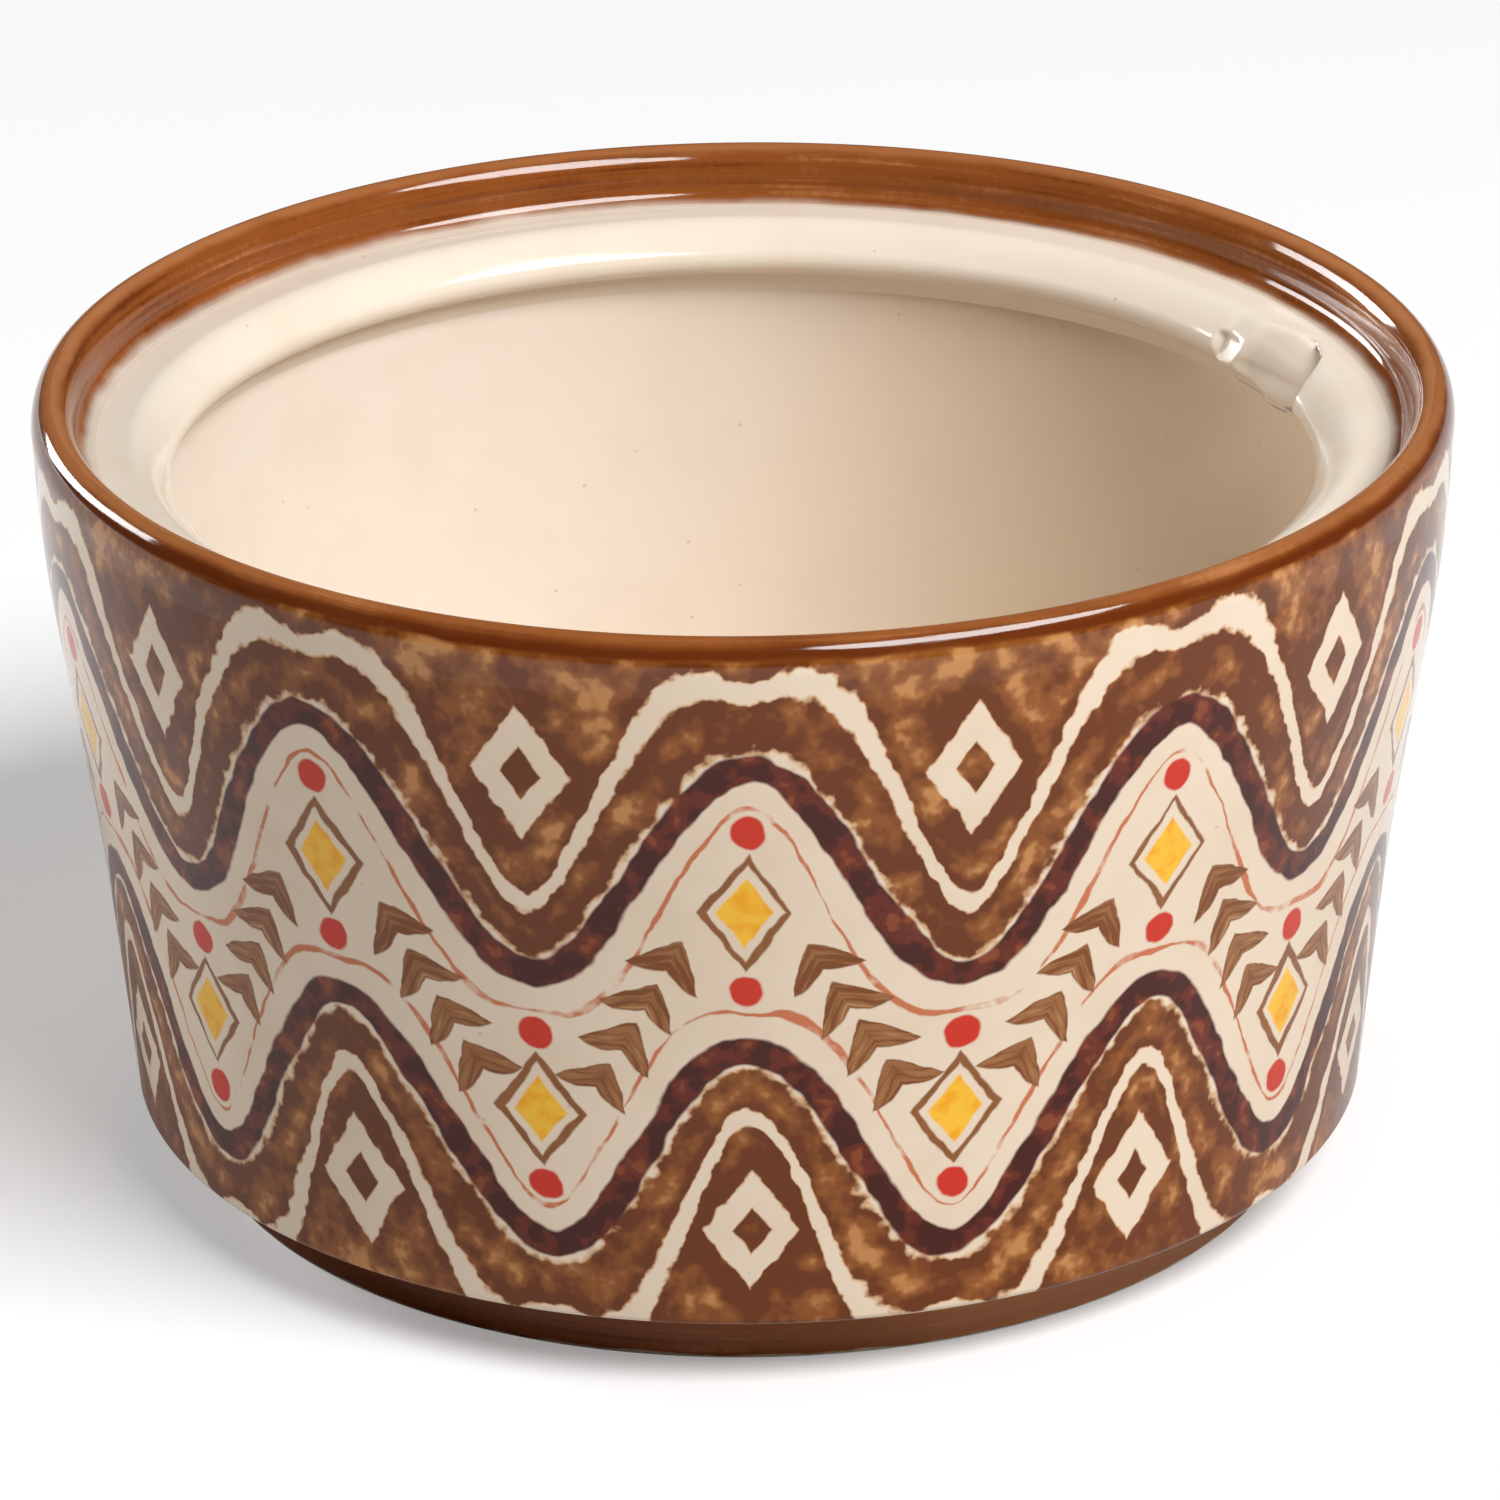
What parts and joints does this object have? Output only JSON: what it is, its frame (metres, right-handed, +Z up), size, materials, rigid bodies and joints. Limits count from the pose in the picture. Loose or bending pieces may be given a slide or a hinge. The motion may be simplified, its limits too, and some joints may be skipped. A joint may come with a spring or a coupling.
{
  "type": "condiment jar",
  "caption": "Open round stoneware jar with a stepped foot ring, tapered bellied wall, round-topped rim and an inner ledge with a notch that seats a lid.",
  "frame": {"origin": "middle of the flat ring that the jar stands on", "axes": "+Z up along the jar's axis, towards the mouth; the notch in the lid seat is 21 degrees from +X towards +Y"},
  "size_m": [0.12, 0.12, 0.0692],
  "materials": {
    "brown_glaze": "glossy fired clear glaze over brushed brown, darker and lighter streaks round the jar",
    "cream_glaze": "glossy fired cream glaze with fine specks",
    "painted_glaze": "glossy fired cream glaze over hand painting in brown, dark red, tan, yellow and red"
  },
  "bodies": {
    "root": {"foot_ring": "brown_glaze", "base": "cream_glaze", "wall": "painted_glaze", "gallery": "cream_glaze", "rim": "brown_glaze"}
  },
  "joints": []
}
